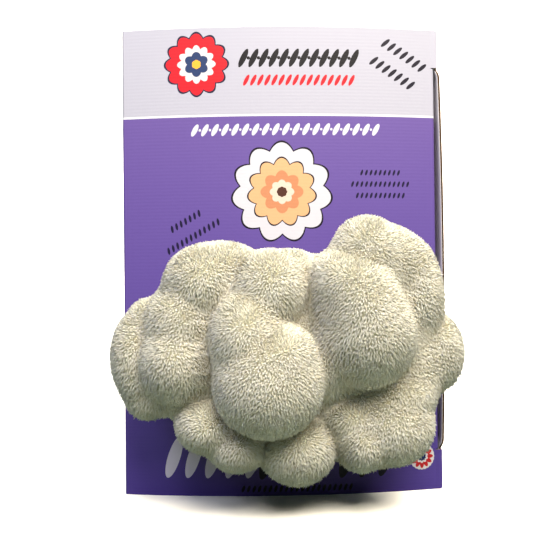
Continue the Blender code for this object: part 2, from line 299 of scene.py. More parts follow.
def slab(near, far):
    """A closed slab between two grids of points: points, quads, and 0 near, 1 far or 2 rim for each quad.

    The rim runs once round both grids: along the first row, up the last column, back, and down.
    """
    rows, columns = near.shape[:2]
    index = np.arange(rows * columns).reshape(rows, columns)
    loop = np.concatenate([index[0], index[1:, -1], index[-1, -2::-1], index[-2:0:-1, 0]])
    beyond = np.roll(loop, -1)
    broad = grid_faces(rows, columns)
    rim = np.stack([loop, beyond, beyond + index.size, loop + index.size], 1)
    faces = np.concatenate([broad[:, ::-1], broad + index.size, rim])
    facing = np.cross(near[0, -1] - near[0, 0], near[-1, 0] - near[0, 0])
    if facing @ (far[0, 0] - near[0, 0]) < 0:
        faces = faces[:, ::-1]
    sides = np.repeat([0, 1, 2], [len(broad), len(broad), len(rim)])
    return np.concatenate([near.reshape(-1, 3), far.reshape(-1, 3)]), faces, sides


print(f"flutes swing {FLUTE_SWING / MM:.2f} mm to each side")

# %% One panel, and one piece
# Shares of the map's width that the print and each plain paper's square take
PRINT_SHARE = 0.90
PLAIN_SQUARE = 0.03


def carried(path, inward, across, depth, axes):
    """A grid of points at a depth under a path of (n, 2) points that is carried across."""
    grid = np.empty((*across.shape, 3))
    grid[..., axes[0]] = path[:, 0] + inward[:, 0] * depth
    grid[..., axes[1]] = path[:, 1] + inward[:, 1] * depth
    grid[..., axes[2]] = across
    return grid


def panel_layers(path, inward, low, high, axes=(0, 1, 2), rows=2, flute_rows=None, start=0.0):
    """The three layers of a panel: a path of (n, 2) points carried across, from low to high at each point.

    axes says which of X, Y and Z the path's two coordinates and the direction across it are. Flutes
    cross the carried lines where flute_rows is given, and cross the path where it isn't. Each layer is
    its points, faces, the paper of each face, and each point's place on the unrolled sheet: how far
    along the path it is, counted from start, and how far across.
    """
    along = start + path_length(path)
    low, high = np.broadcast_to(low, len(path)), np.broadcast_to(high, len(path))
    across = low + (high - low) * np.linspace(0, 1, rows)[:, None]
    finer = low + (high - low) * np.linspace(0, 1, flute_rows or rows)[:, None]
    wave = finer if flute_rows else np.broadcast_to(along, finer.shape)
    middle = BOARD / 2 + FLUTE_SWING * np.sin(2 * math.pi * wave / FLUTE_PITCH)
    layers = []
    for across, top, bottom, papers in (
        (across, 0.0, LINER, (PRINT, IN_FLUTE_SHADE, KRAFT)),
        (finer, middle - FLUTE_SHEET / 2, middle + FLUTE_SHEET / 2, (IN_FLUTE_SHADE, IN_FLUTE_SHADE, KRAFT)),
        (across, BOARD - LINER, BOARD, (IN_FLUTE_SHADE, WHITE, WHITE)),
    ):
        grids = [carried(path, inward, across, depth, axes) for depth in (top, bottom)]
        points, faces, sides = slab(*grids)
        sheet = np.stack([np.broadcast_to(along, across.shape), across], -1).reshape(-1, 2)
        layers.append((points, faces, np.array(papers)[sides], np.concatenate([sheet, sheet])))
    return layers


def sheet_places(papers, corners):
    """Where the corners of all faces lie on the map: the print unrolled, the plain papers beside it.

    Each plain paper is of one colour, so all of its faces share one small square.
    """
    printed = papers == PRINT
    low, high = corners[printed].min((0, 1)), corners[printed].max((0, 1))
    places = (corners - low) / (high - low) * (PRINT_SHARE, 1.0)
    square = np.array([[0, 0], [1, 0], [1, 1], [0, 1]]) * PLAIN_SQUARE + (PRINT_SHARE + PLAIN_SQUARE, 0)
    shelf = 2 * PLAIN_SQUARE * papers[~printed, None, None] * (0, 1)
    places[~printed] = square + shelf
    return places


def board_piece(node, layers, finishes, shape=None):
    """One board piece from all of its layers, in place of the node of the same name."""
    starts = np.cumsum([0] + [len(layer[0]) for layer in layers[:-1]])
    points = np.concatenate([layer[0] for layer in layers])
    if shape:
        points = shape(points)
    faces = np.concatenate([layer[1] + start for layer, start in zip(layers, starts)])
    papers = np.concatenate([layer[2] for layer in layers])
    sheet = np.concatenate([layer[3] for layer in layers])
    places = sheet_places(papers, sheet[faces])
    made = mesh_piece(node + "_board", points, faces, finishes, papers, smooth=False, places=places)
    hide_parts(node)
    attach(made, "root")
    return made


print(f"the print takes {PRINT_SHARE:.0%} of the map's width")

# %% [markdown]
# ## The print
#
# The outer liner is white, clay coated paper, printed in purple up to a white band, and varnished.
# The varnish gives it a soft sheen, and the flutes under it show as very faint level ripples. The lid
# carries plain ornament: rows of slanted leaves, and round rosettes with scalloped edges. An image
# could hold it, but it would blur when seen from near. So it is worked out from the place on the lid,
# in metres, and has no pixels: a row wraps the place along itself into equal cells and draws one leaf
# in each, and a rosette compares the distance from its centre with a radius that swells once for each
# petal.

# %% The ornament
# Rows of leaves, in millimetres: middle across and up, degrees turned, pitch, number, half width and
# half height of a leaf, how far its top leans over in half heights, colour
ROWS = (
    (11, 284.5, 0, 6.6, 12, 2.1, 6.0, 0.45, "#17161F"),
    (11, 284.5, 0, 6.6, 11, 1.1, 1.1, 0.0, "#17161F"),
    (11, 270.0, 0, 4.6, 16, 1.4, 3.6, 0.45, "#C6202E"),
    (81, 287.5, -32, 4.9, 7, 1.3, 3.7, 0.3, "#1D1A2A"),
    (73, 275.5, -32, 4.9, 7, 1.3, 3.7, 0.3, "#1D1A2A"),
    (2, 237.8, 0, 6.6, 19, 1.8, 3.9, 0.45, "#C6C8DA"),
    (2, 237.8, 0, 6.6, 18, 0.8, 0.8, 0.0, "#C6C8DA"),
    (64, 209.5, 0, 3.1, 9, 0.8, 1.9, 0.3, "#1D1838"),
    (64, 202.0, 0, 3.1, 13, 0.8, 1.9, 0.3, "#1D1838"),
    (64, 194.5, 0, 3.1, 11, 0.8, 1.9, 0.3, "#1D1838"),
    (-64, 178.5, 30, 3.4, 7, 0.9, 2.3, 0.3, "#1D1838"),
    (-59, 168.5, 30, 3.4, 12, 0.9, 2.3, 0.3, "#1D1838"),
    (-47, 25.0, 0, 13.0, 5, 4.2, 13.5, 0.3, "#DAD4EE"),
    (27, 24.0, 0, 13.0, 7, 4.2, 13.5, 0.3, "#15122A"),
    (7, 4.6, 0, 3.5, 21, 1.0, 2.2, 0.3, "#15122A"),
)
# Rosettes, in millimetres: middle across and up, radius, petals, share of the radius that swells, colour
ROSETTES = (
    (-56, 281, 21.5, 12, 0.16, "#22223C"),
    (-56, 281, 20.2, 12, 0.16, "#C6202E"),
    (-56, 281, 12.6, 12, 0.20, "#C8C8D6"),
    (-56, 281, 8.2, 6, 0.25, "#2A3A66"),
    (-56, 281, 3.0, 6, 0.10, "#E2A63C"),
    (-1, 197, 33.5, 11, 0.16, "#1B1626"),
    (-1, 197, 32.2, 11, 0.16, "#C2C3D4"),
    (-1, 197, 23.0, 11, 0.18, "#1B1626"),
    (-1, 197, 22.0, 11, 0.18, "#D0A47F"),
    (-1, 197, 14.0, 8, 0.22, "#BC8061"),
    (-1, 197, 8.0, 8, 0.18, "#CBC0B8"),
    (-1, 197, 3.4, 8, 0.10, "#4B2F2A"),
    (90, 22, 8.7, 24, 0.04, "#CDCBDA"),
    (90, 22, 7.7, 12, 0.30, "#B3242F"),
    (90, 22, 4.4, 10, 0.20, "#CDCBDA"),
    (90, 22, 3.0, 10, 0.20, "#23305E"),
)
print(len(ROWS), "rows and", len(ROSETTES), "rings of rosettes")

# %% Leaves and rosettes from the place
# A limit for directions in which a pattern doesn't repeat or end
FAR_AWAY = 1000.0


def leaf_rows(tree, place, ground):
    """Draws each row of leaves over the ground.

    A place is in its cell's leaf where ((x - lean z) / half width)^2 + (z / half height)^2 is under 1.
    An even number of leaves has no leaf in the middle, so its cells are shifted by half a pitch.
    """
    for across, up, turned, pitch, count, half_width, half_height, lean, colour in ROWS:
        local = add(tree, "ShaderNodeMapping", {"vector_type": "TEXTURE"}, {
            "Vector": place, "Location": (across * MM, 0, up * MM), "Rotation": (0, -turned * DEGREE, 0),
            "Scale": (pitch * MM, FAR_AWAY, half_height * MM),
        })
        shift = 0.5 if count % 2 == 0 else 0.0
        cell = add(tree, "ShaderNodeVectorMath", {"operation": "WRAP"}, {
            0: local.outputs[0],
            1: (shift + 0.5, FAR_AWAY, FAR_AWAY),
            2: (shift - 0.5, -FAR_AWAY, -FAR_AWAY),
        })
        centred = add(tree, "ShaderNodeVectorMath", {"operation": "SUBTRACT"}, {
            0: cell.outputs[0], 1: (shift, 0, 0),
        })
        upright = add(tree, "ShaderNodeVectorMath", {"operation": "DOT_PRODUCT"}, {
            0: centred.outputs[0], 1: (pitch / half_width, 0, -lean * half_height / half_width),
        })
        height = add(tree, "ShaderNodeVectorMath", {"operation": "DOT_PRODUCT"}, {
            0: centred.outputs[0], 1: (0, 0, 1),
        })
        offset = add(tree, "ShaderNodeCombineXYZ", None, {
            0: upright.outputs["Value"], 1: height.outputs["Value"],
        })
        reach = add(tree, "ShaderNodeVectorMath", {"operation": "LENGTH"}, {0: offset.outputs[0]})
        ink = add(tree, "ShaderNodeMath", {"operation": "LESS_THAN"}, {0: reach.outputs["Value"], 1: 1.0})
        axes = add(tree, "ShaderNodeSeparateXYZ", None, {0: local.outputs[0]})
        along = add(tree, "ShaderNodeMath", {"operation": "ABSOLUTE"}, {0: axes.outputs["X"]})
        in_row = add(tree, "ShaderNodeMath", {"operation": "LESS_THAN"}, {
            0: along.outputs[0], 1: count / 2,
        })
        share = add(tree, "ShaderNodeMath", {"operation": "MULTIPLY"}, {
            0: ink.outputs[0], 1: in_row.outputs[0],
        })
        ground = add(tree, "ShaderNodeMix", RGBA, {
            MIX_SHARE: share.outputs[0], MIX_A: ground, MIX_B: linear(colour),
        }).outputs[MIX_RESULT]
    return ground


def rosettes(tree, place, ground):
    """Draws each rosette over the ground.

    A place is inside where its distance, in radii, is under 1 - swell + swell |cos(petals angle / 2)|.
    """
    for across, up, radius, petals, swell, colour in ROSETTES:
        local = add(tree, "ShaderNodeMapping", {"vector_type": "TEXTURE"}, {
            "Vector": place, "Location": (across * MM, 0, up * MM),
            "Scale": (radius * MM, FAR_AWAY, radius * MM),
        })
        axes = add(tree, "ShaderNodeSeparateXYZ", None, {0: local.outputs[0]})
        angle = add(tree, "ShaderNodeMath", {"operation": "ARCTAN2"}, {
            0: axes.outputs["X"], 1: axes.outputs["Z"],
        })
        turns = add(tree, "ShaderNodeMath", {"operation": "MULTIPLY"}, {0: angle.outputs[0], 1: petals / 2})
        wave = add(tree, "ShaderNodeMath", {"operation": "COSINE"}, {0: turns.outputs[0]})
        petal = add(tree, "ShaderNodeMath", {"operation": "ABSOLUTE"}, {0: wave.outputs[0]})
        edge = add(tree, "ShaderNodeMath", {"operation": "MULTIPLY_ADD"}, {
            0: petal.outputs[0], 1: swell, 2: 1 - swell,
        })
        away = add(tree, "ShaderNodeVectorMath", {"operation": "LENGTH"}, {0: local.outputs[0]})
        inside = add(tree, "ShaderNodeMath", {"operation": "LESS_THAN"}, {
            0: away.outputs["Value"], 1: edge.outputs[0],
        })
        ground = add(tree, "ShaderNodeMix", RGBA, {
            MIX_SHARE: inside.outputs[0], MIX_A: ground, MIX_B: linear(colour),
        }).outputs[MIX_RESULT]
    return ground


print(f"the largest rosette is {2 * max(ring[2] for ring in ROSETTES)} mm wide")

# %% Finishes of the board
HEADER_LOW = 246.5 * MM
HEADER_LINE = 1.4 * MM
RIPPLE_HEIGHT = 0.008 * MM


def printed_finish(name, ornament):
    """Offset print on a clay coated liner: purple, a white line and a white band above it, and varnish.

    The clay lets the ink lie bright and even. The varnish adds a soft sheen that breaks on the ripples
    of the flutes. The purple is painted darker towards the foot, as painted shade.
    """
    finish, tree, shader = new_finish(name, {"Roughness": 0.38, "Specular IOR Level": 0.25})
    place = add(tree, "ShaderNodeTexCoord").outputs["Object"]
    axes = add(tree, "ShaderNodeSeparateXYZ", None, {0: place})
    rise = add(tree, "ShaderNodeMapRange", None, {
        "Value": axes.outputs["Z"], "From Min": 0.0, "From Max": HEADER_LOW,
    })
    # Painted shade: the purple is darker towards the foot
    purple = add(tree, "ShaderNodeMix", RGBA, {
        MIX_SHARE: rise.outputs["Result"], MIX_A: linear("#4D3D95"), MIX_B: linear("#635098"),
    })
    line = add(tree, "ShaderNodeMath", {"operation": "GREATER_THAN"}, {0: axes.outputs["Z"], 1: HEADER_LOW})
    lined = add(tree, "ShaderNodeMix", RGBA, {
        MIX_SHARE: line.outputs[0], MIX_A: purple.outputs[MIX_RESULT], MIX_B: linear("#D2D5E4"),
    })
    band = add(tree, "ShaderNodeMath", {"operation": "GREATER_THAN"}, {
        0: axes.outputs["Z"], 1: HEADER_LOW + HEADER_LINE,
    })
    ground = add(tree, "ShaderNodeMix", RGBA, {
        MIX_SHARE: band.outputs[0], MIX_A: lined.outputs[MIX_RESULT], MIX_B: linear("#A9AAC0"),
    }).outputs[MIX_RESULT]
    if ornament:
        ground = rosettes(tree, place, leaf_rows(tree, place, ground))
    tree.links.new(ground, shader.inputs["Base Color"])
    phase = add(tree, "ShaderNodeMath", {"operation": "MULTIPLY"}, {
        0: axes.outputs["Z"], 1: 2 * math.pi / FLUTE_PITCH,
    })
    ripple = add(tree, "ShaderNodeMath", {"operation": "SINE"}, {0: phase.outputs[0]})
    bump = add(tree, "ShaderNodeBump", None, {
        "Height": ripple.outputs[0], "Distance": RIPPLE_HEIGHT, "Strength": 1.0,
    })
    tree.links.new(bump.outputs[0], shader.inputs["Normal"])
    return finish


lid_print = printed_finish("varnished_print_on_clay_coat", True)
wall_print = printed_finish("varnished_plain_print_on_clay_coat", False)
# Bleached kraft, uncoated: an even, matt white with a trace of blue from its whitener
white_liner = new_finish("bleached_kraft_liner", {"Base Color": linear("#E6E3EC"), "Roughness": 0.85})[0]
# A die cut the liners, and their edges show the brown core: raw fibres, with no sheen
kraft = new_finish("cut_edge_of_brown_kraft", {"Base Color": linear("#96705A"), "Roughness": 0.95})[0]
# The wavy sheet is steamed and pressed from recycled pulp, coarse and without sheen. This finish is on
# every face inside the flutes, the liners' too, and its near black brown is painted shade of the holes
flute_medium_and_painted_shade = new_finish("fluting_medium_with_painted_flute_shade", {"Base Color": linear("#3A2A20"), "Roughness": 0.95})[0]
lid_papers = [lid_print, white_liner, kraft, flute_medium_and_painted_shade]
wall_papers = [wall_print, white_liner, kraft, flute_medium_and_painted_shade]
flap_papers = [white_liner, white_liner, kraft, flute_medium_and_painted_shade]
print("five papers, from", lid_print.name, "to", flute_medium_and_painted_shade.name)

# %% [markdown]
# ## The panels
#
# The box is one folded sheet, parted here at its folds, so that each panel is a piece of its own. A
# solid with thickness could stand for each, but its edges would be blank. Here every panel is a path
# in plan or in profile, carried across, and all of them share the measures of this cell.

# %% Measures of the box
LEFT, RIGHT = -105.5 * MM, 104.0 * MM
FRONT, BACK, TOP = -66.5 * MM, 66.5 * MM, 305.0 * MM
FOLD = 2.0 * MM
TAIL = 0.5 * MM
GAP = 0.3 * MM
INSET = BOARD + GAP
BULGE = 10.0 * MM
SLOT_LOW, SLOT_HIGH = 26.0 * MM, 280.0 * MM
SLIT = 0.6 * MM
CORNER = 1.7 * MM
END_FLAT = 2.7 * MM
FOLD_START = RIGHT - 4.4 * MM
WINDOW_MIDDLE = (2.0 * MM, 93.0 * MM)
WINDOW_HALF = (49.0 * MM, 46.0 * MM)
WINDOW_ROUND = 20.0 * MM
TUCK_TAPER = 12.0 * MM
TUCK_END = -27.32 * MM
TONGUE_NOTCH = 3.0 * MM
TONGUE_LEAN = 1.3 * MM
TONGUE_BOW = 1.8 * MM


def lid_front(x):
    """Depth of the lid's outer face: BULGE in front of the box in the middle, falling as the square."""
    share = (x - (LEFT + RIGHT) / 2) / ((RIGHT - LEFT) / 2)
    return FRONT - BULGE * (1 - share ** 2)


def quarter(centre, start, steps=8):
    """A quarter circle of the fold's radius round a centre, from a start angle in degrees."""
    turn = (start + np.linspace(0, 90, steps)) * DEGREE
    return np.array(centre) + FOLD * np.stack([np.cos(turn), np.sin(turn)], 1)


def rounded_by(distance, radius):
    """How far a rounded corner cuts in, at a distance past the start of its arc."""
    past = np.clip(distance, 0, radius)
    return radius - np.sqrt(radius ** 2 - past ** 2)


HINGE_Y = lid_front(LEFT + FOLD) + FOLD
TURN_Y = lid_front(FOLD_START) + FOLD
ROLLED_FRONT = HINGE_Y + TAIL + GAP
BACK_TAIL = BACK - FOLD - TAIL
print(f"the lid stands {-lid_front(0.0) / MM + FRONT / MM:.1f} mm out in its middle")

# %% [markdown]
# ### The lid
#
# The lid bows outwards between its two long sides, because only those are held: its outline in plan is
# a parabola between two small folds. Its ends reach over the right wall, and between them its edge
# turns in and leaves room for the wall's tongue. A window could be cut out with a Boolean, which
# leaves ragged faces. Here the lid is made in strips instead, and over the window a strip ends at a
# limit that is worked out for each column of its grid.

# %% The lid and its flap
# Columns of the grid beside the window and over it
SIDE_COLUMNS = 12
WINDOW_COLUMNS = 21
# Steps of an end's rounded corner, and the share of its quarter turn at the first of them
CORNER_STEPS = 7
CORNER_START = 0.2
FLUTE_ROWS = round(TOP / FLUTE_STEP)
END_ROWS = round(SLOT_LOW / FLUTE_STEP)
window_left = WINDOW_MIDDLE[0] - WINDOW_HALF[0]
window_right = WINDOW_MIDDLE[0] + WINDOW_HALF[0]
left_x = np.linspace(LEFT + FOLD, window_left, SIDE_COLUMNS)
window_x = WINDOW_MIDDLE[0] - WINDOW_HALF[0] * np.cos(np.linspace(0, math.pi, WINDOW_COLUMNS))
right_x = np.linspace(window_right, FOLD_START, SIDE_COLUMNS)
hinge = quarter((LEFT + FOLD, HINGE_Y), 180)
hinge = np.concatenate([[[LEFT, HINGE_Y + TAIL]], hinge[:-1]])
face_x = np.concatenate([left_x, window_x[1:-1], right_x])
face = np.stack([face_x, lid_front(face_x)], 1)
turned_in = np.concatenate([quarter((FOLD_START, TURN_Y), 270)[1:], [[FOLD_START + FOLD, TURN_Y + TAIL]]])
lid_path = np.concatenate([hinge, face, turned_in])
lid_inward = path_inward(lid_path, 1)
lid_along = path_length(lid_path)
first = len(hinge) + len(left_x) - 1
last = first + len(window_x) - 1
fold = len(hinge) + len(face_x) - 1
past_straight = np.abs(window_x - WINDOW_MIDDLE[0]) - (WINDOW_HALF[0] - WINDOW_ROUND)
corner_cut = WINDOW_HALF[1] - rounded_by(past_straight, WINDOW_ROUND)
corner_x = END_FLAT + CORNER * np.sin(np.linspace(CORNER_START, 1, CORNER_STEPS) * math.pi / 2)
end_x = FOLD_START + np.array([0, END_FLAT, *corner_x])
end_path = np.stack([end_x, np.full(len(end_x), lid_front(FOLD_START))], 1)
end_inward = np.tile([0.0, 1.0], (len(end_x), 1))
end_cut = rounded_by(end_x - (RIGHT - CORNER), CORNER)


def part_of_lid(start, end, low, high):
    """Layers of the lid between two places of its path."""
    rows = round(float(np.max(high - low)) / FLUTE_STEP)
    part = slice(start, end + 1)
    path, inward = lid_path[part], lid_inward[part]
    return panel_layers(path, inward, low, high, flute_rows=rows, start=lid_along[start])


end_form = {"flute_rows": END_ROWS, "start": lid_along[fold]}
lid = [
    *part_of_lid(0, first, 0.0, TOP),
    *part_of_lid(first, last, 0.0, WINDOW_MIDDLE[1] - corner_cut),
    *part_of_lid(first, last, WINDOW_MIDDLE[1] + corner_cut, TOP),
    *part_of_lid(last, fold, 0.0, TOP),
    *part_of_lid(fold, len(lid_path) - 1, SLOT_LOW + SLIT, SLOT_HIGH - SLIT),
    *panel_layers(end_path, end_inward, end_cut, SLOT_LOW, **end_form),
    *panel_layers(end_path, end_inward, SLOT_HIGH, TOP - end_cut, **end_form),
]
board_piece("lid_panel", lid, lid_papers)
tuck_path = np.array([[FOLD_START + FOLD, TURN_Y + TAIL + GAP], [FOLD_START + FOLD, TUCK_END]])
tuck_low = SLOT_LOW + 2 * SLIT + np.array([0, TUCK_TAPER])
tuck_high = SLOT_HIGH - 2 * SLIT - np.array([0, TUCK_TAPER])
tuck = panel_layers(tuck_path, path_inward(tuck_path, 1), tuck_low, tuck_high, flute_rows=FLUTE_ROWS)
board_piece("tuck_flap", tuck, wall_papers)
print("lid triangles:", sum(2 * len(layer[1]) for layer in lid))

# %% [markdown]
# ### Walls and back
#
# The left wall and the back are plain panels. The right wall has a tongue that stands beside the lid
# with its raw edge in plain sight. It leans out a little and bows, as board does that was pushed back
# into its slot by hand. A bend modifier would turn the whole wall, so the lean is added to its finished
# points instead, as a smooth function of their height and depth.

# %% The walls and the back
WALL_ROWS = round((TOP - 2 * INSET) / FLUTE_STEP)
# The flat papers need rows of their own to follow the lean as smoothly as the wavy one does
LEANING_ROWS = 200


def lean_out(points):
    """Leans the right wall out, and bows it, as a parabola along the tongue's free edge.

    The lean is nothing where the lid's ends cross the wall, and grows in an S over the first millimetres.
    """
    low, high = SLOT_LOW + SLIT, SLOT_HIGH - SLIT
    height = points[:, 2]
    from_end = np.clip(np.minimum(height - low, high - height) / (2 * TONGUE_NOTCH), 0, 1)
    bow = TONGUE_BOW * (1 - ((2 * height - low - high) / (high - low)) ** 2)
    lean = (TONGUE_LEAN + bow) * from_end ** 2 * (3 - 2 * from_end) * (BACK - points[:, 1]) / (BACK - FRONT)
    return points + lean[:, None] * (1, 0, 0)


left_path = np.array([[LEFT, BACK_TAIL - GAP], [LEFT, ROLLED_FRONT]])
left_wall = panel_layers(left_path, path_inward(left_path, 1), INSET, TOP - INSET, flute_rows=WALL_ROWS)
board_piece("left_wall", left_wall, wall_papers)

shoulder, tip = FRONT + INSET, lid_front(FOLD_START)
right_y = np.array([shoulder, FRONT / 2, 0.0, BACK / 2, BACK_TAIL - GAP])
right_path = np.stack([np.full(len(right_y), RIGHT), right_y], 1)
tongue_path = np.array([[RIGHT, tip], [RIGHT, shoulder]])
notch = np.array([TONGUE_NOTCH, 0.0])
right_wall = panel_layers(right_path, path_inward(right_path, 1), INSET, TOP - INSET, rows=LEANING_ROWS,
                          flute_rows=WALL_ROWS, start=shoulder - tip)
right_wall += panel_layers(tongue_path, path_inward(tongue_path, 1), SLOT_LOW + SLIT + notch,
                           SLOT_HIGH - SLIT - notch, rows=LEANING_ROWS, flute_rows=WALL_ROWS)
board_piece("right_wall", right_wall, wall_papers, shape=lean_out)

back_folds = [quarter((RIGHT - FOLD, BACK - FOLD), 0), quarter((LEFT + FOLD, BACK - FOLD), 90)]
back_path = np.concatenate([[[RIGHT, BACK_TAIL]], *back_folds, [[LEFT, BACK_TAIL]]])
back_panel = panel_layers(back_path, path_inward(back_path, 1), 0.0, TOP, flute_rows=FLUTE_ROWS)
board_piece("back_panel", back_panel, wall_papers)
print("walls and back")

# %% [markdown]
# ### Ends of the box
#
# Each end wall is doubled: the outer board turns over at the front and comes back as the inner board,
# and the side walls' flaps are held between them. Seen from the side that is one path in depth and
# height, so one function makes both ends, and the one at the top is its mirror image.

# %% Rolled end walls and corner flaps
ROLL_HEIGHT = 2 * INSET + BOARD
ROLL_BACK = BACK - INSET
ROLL_RADIUS = 1.2 * MM
BEND_STEPS = 6
FLAP_LENGTH = 55.0 * MM
FLAP_TAPER = 10.0 * MM


def spaced(path, step):
    """The same path with points at most a step apart."""
    length = path_length(path)
    even = np.unique(np.concatenate([length, np.arange(0, length[-1], step)]))
    return np.stack([np.interp(even, length, path[:, i]) for i in (0, 1)], 1)


def rolled_wall(node, at_top):
    """A wall rolled over on itself, as a path of depth and height carried across the box."""
    bend = np.linspace(0, math.pi / 2, BEND_STEPS)
    low_bend = np.stack([1 - np.sin(bend), 1 - np.cos(bend)], 1) * ROLL_RADIUS + (ROLLED_FRONT, 0)
    high_bend = low_bend[::-1] * (1, -1) + (0, ROLL_HEIGHT)
    outer_run = np.concatenate([[[BACK_TAIL - GAP, 0.0]], low_bend])
    inner_run = np.concatenate([low_bend[-1:], high_bend, [[ROLL_BACK, ROLL_HEIGHT]]])
    last_run = np.array([[ROLL_BACK, 0.0], [BACK_TAIL - GAP, 0.0]])
    layers = []
    for run, inset in ((last_run, INSET), (outer_run, 0.0), (inner_run, INSET)):
        path = spaced(run, FLUTE_STEP)
        side = -1
        if at_top:
            path = path * (1, -1) + (0, TOP)
            side = 1
        layers += panel_layers(path, path_inward(path, side), LEFT + inset, RIGHT - inset, axes=(1, 2, 0))
    board_piece(node, layers, wall_papers)


def corner_flap(node, side, at_top):
    """A side wall's flap, tapered to its free end."""
    start = LEFT + INSET if side < 0 else RIGHT - INSET
    height = TOP - INSET if at_top else INSET
    ends = np.array([[start, height], [start - side * FLAP_LENGTH, height]])
    path = spaced(ends, FLUTE_STEP)
    taper = FLAP_TAPER * np.abs(path[:, 0] - start) / FLAP_LENGTH
    inward = path_inward(path, side if at_top else -side)
    low, high = ROLLED_FRONT + INSET + taper, ROLL_BACK - INSET - taper
    layers = panel_layers(path, inward, low, high, axes=(0, 2, 1))
    board_piece(node, layers, flap_papers)


for end, at_top in (("top", True), ("bottom", False)):
    rolled_wall(f"{end}_rolled_wall", at_top)
    corner_flap(f"{end}_left_corner_flap", -1, at_top)
    corner_flap(f"{end}_right_corner_flap", 1, at_top)
print("board pieces: 12")

# %% [markdown]
# ## The block in its bag
#
# The mushroom lives on a block of sawdust that its threads have bound together. They show as a white
# skin, thicker in some places than in others, with the brown sawdust between them, and a clear plastic
# bag is drawn tight over all of it. The frame's own solid has the right shape, so it only gets a finish:
# a broad noise lays the white skin over the grain of the sawdust, and a low roughness with soft dents
# is the bag's film.

# %% Finish of the block
THREAD_PATCH = 14.0 * MM
SAWDUST_GRAIN = 1.5 * MM
FILM_CREASE = 9.0 * MM
FILM_DENT = 0.6 * MM
# Where in the noise the white skin starts, and where it covers all
SKIN_STARTS, SKIN_COVERS = 0.38, 0.56
# Hardwood sawdust bound by living threads, under blown film: mottled white and brown, and glossy
bagged, tree, shader = new_finish("colonised_sawdust_under_clear_film", {"Roughness": 0.28})
place = add(tree, "ShaderNodeTexCoord").outputs["Object"]
patches = add(tree, "ShaderNodeTexNoise", None, {"Vector": place, "Scale": 1 / THREAD_PATCH, "Detail": 5.0})
grains = add(tree, "ShaderNodeTexVoronoi", None, {"Vector": place, "Scale": 1 / SAWDUST_GRAIN})
creases = add(tree, "ShaderNodeTexNoise", None, {"Vector": place, "Scale": 1 / FILM_CREASE, "Detail": 3.0})
sawdust = add(tree, "ShaderNodeMix", RGBA, {
    MIX_SHARE: grains.outputs["Distance"], MIX_A: linear("#B58E63"), MIX_B: linear("#6F4C30"),
})
cover = add(tree, "ShaderNodeMapRange", None, {
    "Value": patches.outputs[0], "From Min": SKIN_STARTS, "From Max": SKIN_COVERS,
})
skinned = add(tree, "ShaderNodeMix", RGBA, {
    MIX_SHARE: cover.outputs["Result"], MIX_A: sawdust.outputs[MIX_RESULT], MIX_B: linear("#EDE6D8"),
})
dents = add(tree, "ShaderNodeBump", None, {
    "Height": creases.outputs[0], "Distance": FILM_DENT, "Strength": 1.0,
})
tree.links.new(skinned.outputs[MIX_RESULT], shader.inputs["Base Color"])
tree.links.new(dents.outputs[0], shader.inputs["Normal"])
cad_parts["substrate_block"].data.materials[0] = bagged
print("block:", len(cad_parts["substrate_block"].data.polygons), "faces")

# %% [markdown]
# ## The form of the mushroom
#
# A lion's mane has no cap. It is a head of white flesh that swells into round lobes, all covered with
# short spines that hang down. The lobes press on each other, so the creases between them are narrow.
# A row of balls joined by a remesh would lose those creases, and sculpting can't be repeated. Here each
# lobe is an ellipsoid with a distance function, and all of them are blended into one field. The table
# gives each lobe's centre and half sizes, measured to the tips of the coat, and everything that the
# mushroom needs is asked of that one field: its skin, the way the spines point, and how deep a place
# lies between the lobes.

# %% Lobes
# Right of the middle, forward of the box's front and above its foot, then the half sizes across, front
# to back and up, all in millimetres
LOBES = {
    "core": (-1, 42, 97, 82, 30, 59),
    "core_left": (-53, 44, 98, 42, 28, 46),
    "core_right": (59, 42, 100, 34, 28, 54),
    "front_centre": (-13, 76, 82, 34, 34, 33),
    "front_bump": (-6, 76, 99, 22, 28, 19),
    "front_shoulder": (-26, 71, 107, 23, 30, 26),
    "right_main": (44, 64, 108, 31, 36, 33),
    "right_middle": (40, 63, 123, 27, 36, 30),
    "right_upper": (36, 60, 135, 26, 34, 22),
    "right_crown": (28, 54, 144, 18, 30, 15),
    "upper_middle": (-12, 60, 134, 25, 28, 27),
    "middle_fold": (22, 56, 94, 16, 26, 28),
    "middle_bridge": (-23, 62, 118, 23, 28, 20),
    "upper_left": (-51, 51, 138, 26, 29, 26),
    "top_left": (-37, 46, 147, 24, 25, 19),
    "top_middle": (2, 44, 142, 21, 24, 19),
    "left_bridge": (-63, 53, 116, 24, 28, 24),
    "left_main": (-66, 57, 93, 24, 28, 27),
    "far_left": (-92, 44, 96, 17, 23, 27),
    "far_left_upper": (-86, 40, 115, 13, 20, 17),
    "far_left_waist": (-89, 43, 81, 14, 21, 17),
    "far_left_low": (-84, 41, 69, 16, 20, 15),
    "low_left": (-48, 56, 56, 22, 27, 19),
    "low_left_inner": (-31, 56, 44, 20, 28, 18),
    "low_centre": (4, 54, 41, 26, 29, 24),
    "low_right": (59, 50, 53, 30, 30, 27),
    "low_right_inner": (41, 52, 44, 18, 29, 20),
    "right_fold": (67, 48, 71, 23, 26, 18),
    "low_fold": (36, 50, 58, 21, 26, 16),
    "right_low": (76, 42, 83, 19, 24, 23),
    "far_right": (92, 40, 95, 18, 22, 26),
    "right_saddle": (78, 44, 128, 19, 25, 29),
    "top_right": (47, 49, 153, 25, 30, 28),
    "top_right_outer": (71, 40, 146, 22, 25, 23),
    "top_right_middle": (62, 42, 147, 24, 27, 28),
}
BOX_FRONT = -66.5 * MM
LOBE_TABLE = np.array(list(LOBES.values())) * MM
LOBE_CENTRES = LOBE_TABLE[:, :3] * (1, -1, 1) + (0, BOX_FRONT, 0)
LOBE_HALVES = LOBE_TABLE[:, 3:]
print(len(LOBES), "lobes, the widest", 2 * LOBE_HALVES.max() / MM, "mm across")

